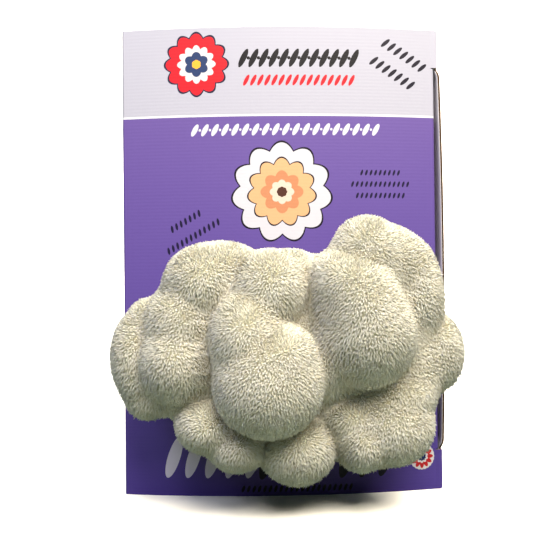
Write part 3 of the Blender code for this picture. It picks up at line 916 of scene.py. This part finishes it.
# %% One field for all lobes
NECK_MIDDLE = (2 * MM, 93 * MM)
NECK_HALF = (46 * MM, 43 * MM)
NECK_ROUND = 18 * MM
NECK_FRONT = BOX_FRONT - 42 * MM
# How far the lobes melt into each other at a crease
BLEND = 2.8 * MM
# How deep the flesh lies under the tips of the spines
COAT_DEPTH = 4.6 * MM
# The field is followed between these distances only, past which a lobe has no say
FIELD_LIMITS = (-0.05, 0.2)


def neck_distance(points):
    """Distance to the neck, an upright slab with rounded corners carried from front to back.

    Beyond a corner it is the length of what sticks out past the half sizes, less the corner's radius.
    """
    across = np.abs(points[:, [0, 2]] - NECK_MIDDLE) - (np.array(NECK_HALF) - NECK_ROUND)
    outline = np.linalg.norm(np.maximum(across, 0), axis=1) + np.minimum(across.max(1), 0) - NECK_ROUND
    return np.maximum(outline, NECK_FRONT - points[:, 1])


def coat_distance(points):
    """Distance to the outer reach of the coat, negative inside.

    One ellipsoid is at about a (a - 1) / b, where a is the length of the point divided by the half
    sizes, and b that of the point divided by their squares. All lobes are blended as
    -w ln(sum of exp(-distance / w)), which rounds each crease by a few w.
    """
    total = np.exp(-np.clip(neck_distance(points) - COAT_DEPTH, *FIELD_LIMITS) / BLEND)
    for centre, halves in zip(LOBE_CENTRES, LOBE_HALVES):
        scaled = (points - centre) / halves
        a = np.linalg.norm(scaled, axis=1)
        b = np.linalg.norm(scaled / halves, axis=1)
        total += np.exp(-np.clip(a * (a - 1) / b, *FIELD_LIMITS) / BLEND)
    return -BLEND * np.log(total)


def outward(points, step=0.4 * MM):
    """Unit vectors away from the mushroom: the field's slope along X, Y and Z."""
    moves = step * np.eye(3)
    slope = np.stack([coat_distance(points + move) - coat_distance(points - move) for move in moves], 1)
    return slope / np.maximum(np.linalg.norm(slope, axis=1, keepdims=True), 1e-12)


neck_tip = np.array([[NECK_MIDDLE[0], NECK_FRONT, NECK_MIDDLE[1]]])
print(f"the neck ends {-coat_distance(neck_tip)[0] / MM:.0f} mm inside the tips of the coat")

# %% [markdown]
# ## The flesh
#
# Seen from a point in the middle of the head, every part of the skin lies in just one direction, like
# the surface of an apple seen from its core. So the skin is a function of two angles: how far round,
# and how far from the front. Each direction is a ray that starts outside and steps inwards by most of
# the distance to the flesh, until it touches it. The same grid runs down the neck to the block, which
# a remesh of the field would do too, but slower and with a seam at every voxel.

# %% Skin of the flesh
HEAD_CENTRE = np.array([0.0, BOX_FRONT - 42 * MM, 95 * MM])
NECK_BACK = -56 * MM
ROUND_STEPS = 250
FRONT_STEPS = 145
RAY_START = 0.16
RAY_STEPS = 70
RAY_CAUTION = 0.6


def flesh_distance(points):
    """Distance to the flesh: a coat's depth inside the tips, and cut flat where the neck ends."""
    return np.maximum(coat_distance(points) + COAT_DEPTH, points[:, 1] - NECK_BACK)


def skin_points():
    """Points of the skin on a grid of two angles, found by walking in along each ray."""
    around = np.linspace(0, 2 * math.pi, ROUND_STEPS, endpoint=False)[None, :]
    from_front = np.linspace(0, math.pi, FRONT_STEPS)[1:-1, None]
    rays = np.stack([
        np.sin(from_front) * np.cos(around),
        -np.cos(from_front) + 0 * around,
        np.sin(from_front) * np.sin(around),
    ], -1).reshape(-1, 3)
    rays = np.vstack([rays, [[0, -1, 0], [0, 1, 0]]])
    reach = np.full(len(rays), RAY_START)
    for _ in range(RAY_STEPS):
        reach -= RAY_CAUTION * flesh_distance(HEAD_CENTRE + reach[:, None] * rays)
    return HEAD_CENTRE + reach[:, None] * rays


def skin_faces():
    """Triangles of the grid, closed round the ring and with a fan at the front and the back."""
    rows = FRONT_STEPS - 2
    start = (np.arange(rows - 1) * ROUND_STEPS)[:, None]
    here = np.arange(ROUND_STEPS)[None, :]
    beside = (here + 1) % ROUND_STEPS
    below = start + ROUND_STEPS
    quads = np.stack([start + here, below + here, below + beside, start + beside], -1).reshape(-1, 4)
    front, back = rows * ROUND_STEPS, rows * ROUND_STEPS + 1
    ring, next_on_ring = here[0], beside[0]
    last = (rows - 1) * ROUND_STEPS
    front_fan = np.stack([np.full(ROUND_STEPS, front), ring, next_on_ring], -1)
    back_fan = np.stack([np.full(ROUND_STEPS, back), last + next_on_ring, last + ring], -1)
    return np.vstack([quads[:, [0, 1, 2]], quads[:, [0, 2, 3]], front_fan, back_fan])


flesh_points = skin_points()
flesh_faces = skin_faces()
print("flesh:", len(flesh_faces), "triangles")

# %% [markdown]
# ## Where the spines stand
#
# The coat is as even as grass: spines keep a small distance to each other, and none stand in rows.
# That is what a Poisson disc spread gives, and Geometry Nodes has one built in. The real spines stand
# closer still, but each takes nine triangles here, and a million of them is what a part can carry. None
# stand on the neck or within 13 mm of the lid's foot, because nothing sees them there.

# %% Roots of the spines
SPINE_SPACING = 0.60 * MM
# More tries than places, so that the spacing alone decides how many spines there are
TRIES = 3.0
SPREAD_SEED = 7
BACK_LIMIT = BOX_FRONT - 13 * MM


def spread_points(base, spacing, seed):
    """Points on a mesh that keep at least one spacing apart, as an array."""
    tree = bpy.data.node_groups.new("even_spread", "GeometryNodeTree")
    tree.interface.new_socket("Geometry", in_out="INPUT", socket_type="NodeSocketGeometry")
    tree.interface.new_socket("Geometry", in_out="OUTPUT", socket_type="NodeSocketGeometry")
    inside = add(tree, "NodeGroupInput")
    spread = add(tree, "GeometryNodeDistributePointsOnFaces", {"distribute_method": "POISSON"}, {
        "Mesh": inside.outputs[0],
        "Distance Min": spacing,
        "Density Max": TRIES / spacing ** 2,
        "Seed": seed,
    })
    loose = add(tree, "GeometryNodePointsToVertices", None, {"Points": spread.outputs["Points"]})
    add(tree, "NodeGroupOutput", None, {0: loose.outputs[0]})
    nodes = base.modifiers.new("even_spread", "NODES")
    nodes.node_group = tree
    evaluated = base.evaluated_get(bpy.context.evaluated_depsgraph_get())
    found = np.empty(len(evaluated.data.vertices) * 3)
    evaluated.data.vertices.foreach_get("co", found)
    base.modifiers.remove(nodes)
    return found.reshape(-1, 3)


scratch = mesh_piece("flesh_scratch", flesh_points, flesh_faces, [])
roots = spread_points(scratch, SPINE_SPACING, SPREAD_SEED)
bpy.data.objects.remove(scratch)
roots = roots[roots[:, 1] < BACK_LIMIT]
print(len(roots), "spines")

# %% [markdown]
# ## The shape of a spine
#
# A young spine is a soft, blunt peg, 2.3 mm long. The real one is some 0.4 mm wide, and is drawn twice
# as wide, so that fewer of them close the coat and each still shows. Each body is a profile carried
# along a bent path: a ring at the skin, a ring past the middle and a tip, which is nine triangles. Hair
# curves would look alike in the render, but they have no faces, so they would be lost from the model.

# %% The faces of a spine
SIDES = 3
RINGS_ALONG = (0.0, 0.72)
RING_RADII = (0.40 * MM, 0.33 * MM)
SPINE_POINTS = SIDES * len(RINGS_ALONG) + 1
SIDE_ANGLES = np.arange(SIDES) * 2 * math.pi / SIDES


def spine_faces():
    """Triangles of one spine, two for each side and one for each at its tip.

    Beside them it gives how far across the spine's cell of the map each corner is, from 0 to 1.
    """
    faces, across = [], []
    for ring in range(len(RINGS_ALONG)):
        for side in range(SIDES):
            here = ring * SIDES + side
            beside = ring * SIDES + (side + 1) % SIDES
            if ring == len(RINGS_ALONG) - 1:
                faces.append((here, beside, SPINE_POINTS - 1))
                across.append((0, 1, 0.5))
            else:
                faces += [(here, beside, beside + SIDES), (here, beside + SIDES, here + SIDES)]
                across += [(0, 1, 1), (0, 1, 0)]
    return np.array(faces), np.array(across)


one_spine, spine_across = spine_faces()
spine_along = np.array([*np.repeat(RINGS_ALONG, SIDES), 1.0])
print("spines of", len(one_spine), "triangles each")

# %% [markdown]
# ### Tufts and creases
#
# Neighbours lean together into tufts with small partings between them, less so on the tops, where the
# coat lies closer. Leans at random would only look rough. A sum of cosines in many directions has hills
# at even distances but in no rows, so each hill is a tuft, and the slope is the way to it. In a crease
# the coat is painted a darker ochre, as painted shade, and the bend of the field says where that is.

# %% Tufts and creases
# Distance from tuft to tuft, cosines that make them, and the share of them that is left on the tops
TUFT_WAVE = 1.45 * MM
TUFT_WAVES = 9
TUFT_TOP = 0.55
TUFT_SLANT = 0.6
# Waves per millimetre of the slow lean, and the phase between them
COMB_WAVES = ((0.21, 0.13, -0.17), (-0.12, 0.23, 0.19), (0.33, -0.27, 0.11), (-0.29, -0.15, 0.37))
COMB_PHASE = 2.1
# A crease is measured over this distance, from this share on a flat place, and by this much for its bend
VALLEY_STEP = 5.0 * MM
VALLEY_FLAT = 0.12
VALLEY_GAIN = 2.2
# The most painted shade on the tops: darker and greener where the light falls hardest
TOP_SHADE_MOST = 0.5
LEAN_SEED = 11


def comb_lean(points):
    """A slow sideways lean that neighbours share: sines of the place, in waves of 15 to 30 mm."""
    waves = [np.sin(points / MM @ np.array(wave) + COMB_PHASE * i) for i, wave in enumerate(COMB_WAVES)]
    return np.stack([waves[0] + waves[1], waves[2] - waves[0], waves[3] - waves[1]], 1)


def tufts(points, random):
    """How near each place is to the middle of a tuft, about -1 to 1, and the way to that middle.

    The height is a sum of cosines of the place, all of one wave length and in many directions, over the
    root of half their number. The way is the slope of that height, in waves.
    """
    height, way = 0.0, 0.0
    for _ in range(TUFT_WAVES):
        direction = random.standard_normal(3)
        direction /= np.linalg.norm(direction)
        phase = points @ direction * 2 * math.pi / TUFT_WAVE + random.uniform(0, 2 * math.pi)
        height = height + np.cos(phase)
        way = way - np.sin(phase)[:, None] * direction
    return height / math.sqrt(TUFT_WAVES / 2), way / math.sqrt(TUFT_WAVES / 2)


def valley_depth(points):
    """0 on a round lobe to 1 in a deep crease.

    The mean of the field at six points around, less its value here, is the skin's bend: above zero
    where it is round, and below zero in a crease.
    """
    around = [coat_distance(points + side * VALLEY_STEP * axis) for axis in np.eye(3) for side in (-1, 1)]
    bend = (np.mean(around, 0) - coat_distance(points)) / VALLEY_STEP
    return np.clip(VALLEY_FLAT - VALLEY_GAIN * bend, 0, 1)


def shagginess(normals):
    """1 on the undersides, falling to TUFT_TOP on the tops, where the coat lies closer."""
    return TUFT_TOP + (1 - TUFT_TOP) * np.clip(TUFT_SLANT - normals[:, 2], 0, 1)


def painted_top_shade(normals):
    """Painted shade: 0 on upright and hanging skin, growing as the square of the height to its most on a
    top.
    """
    return TOP_SHADE_MOST * np.clip(normals[:, 2], 0, 1) ** 2


random = np.random.default_rng(LEAN_SEED)
skin_normals = outward(roots)
tuft, tuft_way = tufts(roots, random)
shag = shagginess(skin_normals)
tuft, tuft_way = shag * tuft, shag[:, None] * tuft_way
valleys = valley_depth(roots)
print(f"creases count up to {valleys.max():.2f}, and {valleys.mean():.2f} on average")

# %% [markdown]
# ### All spines
#
# A spine starts square to the skin and bends down under its own weight, and over to its tuft. A loop
# over a hundred thousand spines would take minutes, so each step is done to all of them at once.

# %% Spines
SPINE_LENGTH = 2.3 * MM
# Shares of the length: how far it varies, and how much more there is on an underside and in a tuft
LENGTH_SPREAD = 0.18
HANGING = 0.15
TUFT_LENGTH = 0.16
# Leans, in spine lengths at the tip: under its weight, with its neighbours, at random, and to its tuft
DROOP = 0.55
COMB = 0.12
UNRULY = 0.14
TUFT_LEAN = 0.42
# Share of the droop that a spine on a top doesn't have, because it stands on end
TOP_HOLD = 0.6
# How light a spine is: about the middle, at random, and darker in the partings between tufts, as
# painted shade
SHADE_MIDDLE = 0.5
PARTING_SHADE = 0.3
SHADE_AT_RANDOM = 0.25


def spine_arrays(roots, normals, tuft, tuft_way, random):
    """Points (n, 7, 3) of all spines: a ring at the skin, one farther along, and a tip.

    The path is root + length (t normal + t^2 lean), with t from 0 to 1. The lean is the sum of the
    droop, the comb, the tuft's and a random one, less what of it points along the normal.
    """
    count = len(roots)
    lean = COMB * comb_lean(roots) + UNRULY * random.standard_normal((count, 3)) + TUFT_LEAN * tuft_way
    lean[:, 2] -= DROOP * (1 - TOP_HOLD * np.clip(normals[:, 2], 0, 1))
    lean -= (lean * normals).sum(1, keepdims=True) * normals
    length = SPINE_LENGTH * (1 + LENGTH_SPREAD * random.uniform(-1, 1, (count, 1)))
    length *= 1 + HANGING * np.clip(-normals[:, 2:], 0, 1) + TUFT_LENGTH * tuft[:, None]
    turn = random.uniform(0, 2 * math.pi, count)[:, None, None] + SIDE_ANGLES[None, :, None]
    first_side = np.cross(normals, random.standard_normal((count, 3)))
    first_side /= np.linalg.norm(first_side, axis=1, keepdims=True)
    second_side = np.cross(normals, first_side)
    circle = np.cos(turn) * first_side[:, None, :] + np.sin(turn) * second_side[:, None, :]
    rings = []
    for t, radius in zip(RINGS_ALONG, RING_RADII):
        rings.append((roots + length * (t * normals + t ** 2 * lean))[:, None, :] + radius * circle)
    tip = roots + length * (normals + lean)
    return np.concatenate([*rings, tip[:, None, :]], 1)


spines = spine_arrays(roots, skin_normals, tuft, tuft_way, random)
uneven = SHADE_AT_RANDOM * random.uniform(-1, 1, len(roots))
shades = np.clip(SHADE_MIDDLE + PARTING_SHADE * tuft + uneven, 0, 1)
print("the coat measures", np.round(np.ptp(spines, axis=(0, 1)) / MM, 1), "mm across, deep and up")

# %% [markdown]
# ## The finish of the mushroom
#
# The spines are living tissue, full of water: light enters them, scatters and comes out a little
# warmer, so they look soft, and their moist surface has a low sheen. Tips are cream. The roots are
# painted a darker greenish grey, as painted shade of the gaps between the spines, and so is the flesh
# under them. Spines in the partings between tufts are painted darker, deep creases a darker ochre and
# the tops a darker green, all as painted shade. None of this could be read from the place alone. So
# every point carries what its spine knows, as attributes, and the finish mixes its colours by them.
# Three sides are too few to look round, so the shading leans on the skin's own direction.

# %% Finish of flesh and spines
# How much more the skin's direction counts than the face's own
SKIN_SHARE = 6.0
# Share of the crease's painted shade, a darker ochre, that reaches the tips, and where along a spine its
# body's colour starts, above the painted shade of its root
CREASE_SHADE_AT_TIPS = 0.4
BODY_STARTS = 0.5
# Young tissue: matt and moist, and light goes some tenths of a millimetre into it, red the farthest
flesh_finish, tree, shader = new_finish("living_mushroom_spines", {
    "Roughness": 0.62, "Specular IOR Level": 0.35,
    "Subsurface Weight": 0.45, "Subsurface Radius": (1.0, 0.85, 0.6), "Subsurface Scale": 1.2 * MM,
})
FIELDS = ("along", "shade", "valley", "top", "skin")
along, shade, valley, top, skin = (
    add(tree, "ShaderNodeAttribute", {"attribute_name": name}) for name in FIELDS
)
# Painted shade: spines in the partings between tufts are darker; the rest of the spread is tone at random
body = add(tree, "ShaderNodeMix", RGBA, {
    MIX_SHARE: shade.outputs["Fac"], MIX_A: linear("#F2ECDB"), MIX_B: linear("#FFFDF4"),
})
# Painted shade on the tops: darker and greener
with_top_shade = add(tree, "ShaderNodeMix", RGBA, {
    MIX_SHARE: top.outputs["Fac"], MIX_A: body.outputs[MIX_RESULT], MIX_B: linear("#C8CEB0"),
})
# Painted shade of the creases, a darker ochre, carried up to the tips
crease_shade_share = add(tree, "ShaderNodeMath", {"operation": "MULTIPLY"}, {
    0: valley.outputs["Fac"], 1: CREASE_SHADE_AT_TIPS,
})
with_crease_shade = add(tree, "ShaderNodeMix", RGBA, {
    MIX_SHARE: crease_shade_share.outputs[0], MIX_A: with_top_shade.outputs[MIX_RESULT], MIX_B: linear("#D9BE8E"),
})
# Painted shade at the roots: greenish grey, and a darker ochre in the creases
shadow = add(tree, "ShaderNodeMix", RGBA, {
    MIX_SHARE: valley.outputs["Fac"], MIX_A: linear("#E4E2CA"), MIX_B: linear("#B08B58"),
})
rise = add(tree, "ShaderNodeMapRange", None, {
    "Value": along.outputs["Fac"], "From Max": BODY_STARTS,
})
colour = add(tree, "ShaderNodeMix", RGBA, {
    MIX_SHARE: rise.outputs["Result"], MIX_A: shadow.outputs[MIX_RESULT], MIX_B: with_crease_shade.outputs[MIX_RESULT],
})
tree.links.new(colour.outputs[MIX_RESULT], shader.inputs["Base Color"])
face = add(tree, "ShaderNodeNewGeometry")
skin_part = add(tree, "ShaderNodeVectorMath", {"operation": "SCALE"}, {
    "Vector": skin.outputs["Vector"], "Scale": SKIN_SHARE,
})
soft = add(tree, "ShaderNodeVectorMath", {"operation": "ADD"}, {
    0: skin_part.outputs[0], 1: face.outputs["Normal"],
})
unit = add(tree, "ShaderNodeVectorMath", {"operation": "NORMALIZE"}, {0: soft.outputs[0]})
tree.links.new(unit.outputs[0], shader.inputs["Normal"])
print("mushroom finish:", len(tree.nodes), "nodes")

# %% [markdown]
# ## Flesh and coat as pieces
#
# One mesh with all the spines would be too heavy to handle, so the coat is parted into six pieces, as
# slices round the head, beside the skin. All seven stand for the one solid that the frame holds in
# their place. On its piece's map each spine has a cell of its own, because no two are alike in colour.

# %% Build the mushroom
COAT_PIECES = 6
# Empty share at each edge of a spine's cell, so that its neighbours' colours don't run in
CELL_EDGE = 0.12


def paint(made, *fields):
    """Stores what the finish reads, as one number or one vector for each point and each of the FIELDS."""
    for name, values in zip(FIELDS, fields):
        kind, field = ("FLOAT", "value") if values.ndim == 1 else ("FLOAT_VECTOR", "vector")
        stored = made.data.attributes.new(name, kind, "POINT")
        stored.data.foreach_set(field, values.astype(np.float32).ravel())


def spine_places(count):
    """Where the corners of all spines lie on the map: each spine has its own cell of a square grid.

    Its sides share the cell, because they are of the same colours, which change only along the spine.
    """
    cells = math.ceil(math.sqrt(count))
    cell = np.stack([np.arange(count) % cells, np.arange(count) // cells], 1)
    within = CELL_EDGE + (1 - 2 * CELL_EDGE) * np.stack([spine_across, spine_along[one_spine]], -1)
    return (cell[:, None, None, :] + within) / cells


def coat_piece(name, chosen):
    """One piece of the coat, whose points carry all that the finish reads."""
    count = len(chosen)
    points = spines[chosen].reshape(-1, 3)
    faces = (np.arange(count)[:, None, None] * SPINE_POINTS + one_spine).reshape(-1, 3)
    made = mesh_piece(name, points, faces, [flesh_finish], smooth=False, places=spine_places(count))
    of_spine = (shades[chosen], valleys[chosen], painted_top_shade(skin_normals[chosen]), skin_normals[chosen])
    of_points = [np.repeat(values, SPINE_POINTS, axis=0) for values in of_spine]
    paint(made, np.tile(spine_along, count), *of_points)
    return made


flesh_normals = outward(flesh_points)
flesh = mesh_piece("flesh", flesh_points, flesh_faces, [flesh_finish])
even_shade = np.full(len(flesh_points), SHADE_MIDDLE)
# The flesh takes the painted shade of the roots all over
paint(flesh, 0 * even_shade, even_shade, valley_depth(flesh_points), painted_top_shade(flesh_normals), flesh_normals)
round_order = np.argsort(np.arctan2(roots[:, 2] - HEAD_CENTRE[2], roots[:, 0]))
mushroom = [flesh]
for number, chosen in enumerate(np.array_split(round_order, COAT_PIECES), 1):
    mushroom.append(coat_piece(f"coat_{number}", chosen))
for made in mushroom:
    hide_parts("fruiting_body")
    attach(made, "root")
print("mushroom pieces:", len(mushroom), "with", len(roots) * len(one_spine), "triangles in the coat")
